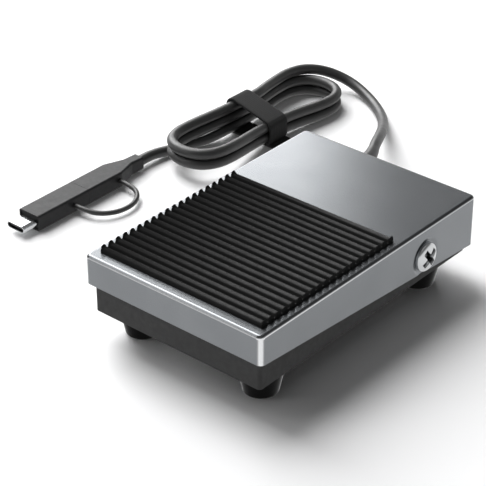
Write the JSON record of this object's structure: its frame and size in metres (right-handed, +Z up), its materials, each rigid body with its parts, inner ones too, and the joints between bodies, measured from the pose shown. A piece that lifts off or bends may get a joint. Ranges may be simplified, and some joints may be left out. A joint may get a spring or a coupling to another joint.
{
  "type": "foot pedal switch",
  "caption": "Foot pedal switch: ribbed tilting metal cover on a dark base with rubber feet, and a strapped hank of cord with a slim plug and a tethered adapter.",
  "frame": {"origin": "on the floor under the middle of the cover", "axes": "+Z up, +Y to the rear where the cord leaves, +X to the right"},
  "size_m": [0.1419, 0.1934, 0.033],
  "materials": {
    "cover_metal": "satin silver-grey",
    "tread_rubber": "matte black",
    "base_plastic": "fine matte dark grey",
    "foot_rubber": "smooth black",
    "screw_chrome": "bright",
    "steel": "zinc plated",
    "brass": "turned",
    "bushing_plastic": "natural",
    "carrier_plastic": "matte black",
    "board": "solder resist",
    "chip_plastic": "matte black",
    "crystal_metal": "satin",
    "header_plastic": "natural",
    "lead_sleeve": "coloured insulation",
    "switch_plastic": "matte black",
    "plunger_plastic": "matte red",
    "cord_jacket": "satin black",
    "strap_fabric": "woven black",
    "plug_plastic": "matte dark grey"
  },
  "bodies": {
    "base": {"pivot_insert_left": "brass", "pivot_insert_right": "brass", "pivot_screw_left": "screw_chrome", "pivot_screw_right": "screw_chrome", "base_tray": "base_plastic", "foot_front_left": "foot_rubber", "foot_front_right": "foot_rubber", "foot_rear_left": "foot_rubber", "foot_rear_right": "foot_rubber", "foot_screws": "steel", "bump_stop_left": "foot_rubber", "bump_stop_right": "foot_rubber", "rest_pad_left": "foot_rubber", "rest_pad_right": "foot_rubber", "return_spring": "steel", "circuit_board": "board", "board_screws": "steel", "controller_chip": "chip_plastic", "clock_crystal": "crystal_metal", "wire_header": "header_plastic", "crimp_housing": "header_plastic", "inner_leads": "lead_sleeve", "switch_body": "switch_plastic", "switch_terminals": "steel", "cord_gland": "cord_jacket", "cord_tail": "cord_jacket", "cord_clamp": "carrier_plastic", "clamp_screws": "steel", "cord_to_hank": "cord_jacket", "cord_hank": "cord_jacket", "cord_to_plug": "cord_jacket", "hank_strap": "strap_fabric", "plug_body": "plug_plastic", "plug_shell": "screw_chrome", "plug_tongue": "chip_plastic", "plug_tether": "cord_jacket"},
    "pedal": {"pedal_cover": "cover_metal", "tread_pad": "tread_rubber", "carrier": "carrier_plastic", "carrier_screws": "steel", "pivot_bushing_left": "bushing_plastic", "pivot_bushing_right": "bushing_plastic"},
    "lever": {"switch_lever": "steel"},
    "plunger": {"switch_plunger": "plunger_plastic"},
    "adapter": {"adapter_body": "plug_plastic", "adapter_shell": "screw_chrome", "adapter_tongue": "chip_plastic"}
  },
  "joints": [
    {"name": "pedal_tilt", "type": "hinge", "parent": "base", "child": "pedal", "pos_m": [0, 0.0274, 0.0198], "axis": [1, 0, 0], "range_deg": [0, 3.5], "stiffness_Nm_per_rad": 6.9, "springref_deg": -7.45, "deforming": ["return_spring"]},
    {"name": "lever_swing", "type": "hinge", "parent": "base", "child": "lever", "pos_m": [0, -0.0245, 0.0225], "axis": [1, 0, 0], "range_deg": [0, 17.2]},
    {"name": "plunger_press", "type": "slide", "parent": "base", "child": "plunger", "axis": [0, 0, -1], "range_m": [0, 0.00106]},
    {"name": "adapter_pull", "type": "slide", "parent": "base", "child": "adapter", "axis": [0, -1, 0], "range_m": [0, 0.008]}
  ],
  "couplings": [
    {"joint": "lever_swing", "follows": "pedal_tilt", "ratio": 4.886},
    {"joint": "plunger_press", "follows": "pedal_tilt", "m_per_rad": 0.01718}
  ]
}
